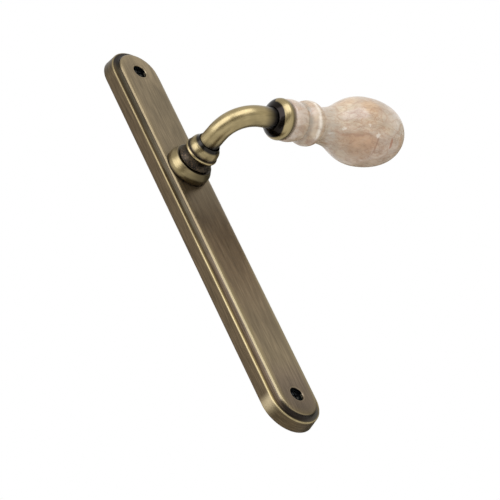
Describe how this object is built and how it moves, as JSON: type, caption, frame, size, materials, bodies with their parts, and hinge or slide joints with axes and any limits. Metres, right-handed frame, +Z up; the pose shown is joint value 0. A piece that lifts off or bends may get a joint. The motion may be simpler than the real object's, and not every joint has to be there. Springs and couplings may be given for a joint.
{
  "type": "door lever handle",
  "caption": "Door lever handle on a long round-ended backplate of two tiers, with a turned neck, a bent round lever arm and a pear-shaped stone grip held by a stud.",
  "frame": {"origin": "on the lever's turning axis, in the plane of the door face that the backplate lies against", "axes": "+X from the turning axis towards the grip, +Z up, +Y into the door along the spindle, so the handle stands out towards -Y"},
  "size_m": [0.1351, 0.0825, 0.2502],
  "materials": {
    "antique_brass": "antique brass, brushed, with dark patina left in the hollows and bright worn edges",
    "dark_brass": "brass toned dark all over",
    "marble": "polished beige and pink marble with brown clouds and fine veins",
    "steel": "zinc plated steel, satin",
    "spring_steel": "oiled spring steel",
    "nylon": "natural nylon, satin",
    "fibre": "vulcanised fibre, matte dark brown"
  },
  "bodies": {
    "plate": {"backplate": "antique_brass", "bearing_collar": "antique_brass", "bearing_bush": "nylon", "thrust_washer": "steel", "return_spring": "spring_steel", "spring_anchor_pin": "steel", "stop_pin_rest": "steel", "stop_pin_lowered": "steel", "cassette_cover": "steel", "cover_screw_upper": "steel", "cover_screw_lower": "steel", "fixing_screw_top": "dark_brass", "fixing_screw_bottom": "dark_brass"},
    "lever": {"neck_hub": "antique_brass", "lever_arm": "antique_brass", "grip_ferrule": "antique_brass", "fibre_washer": "fibre", "stone_grip": "marble", "grip_insert": "dark_brass", "grip_stud": "steel", "circlip": "spring_steel", "wave_washer": "spring_steel", "spring_cam": "steel"}
  },
  "joints": [
    {"name": "lever_turn", "type": "hinge", "parent": "plate", "child": "lever", "pos_m": [0, 0, 0], "axis": [0, 1, 0], "range_deg": [0, 45], "stiffness_Nm_per_rad": 0.6, "springref_deg": -45.84, "deforming": ["return_spring"]}
  ]
}
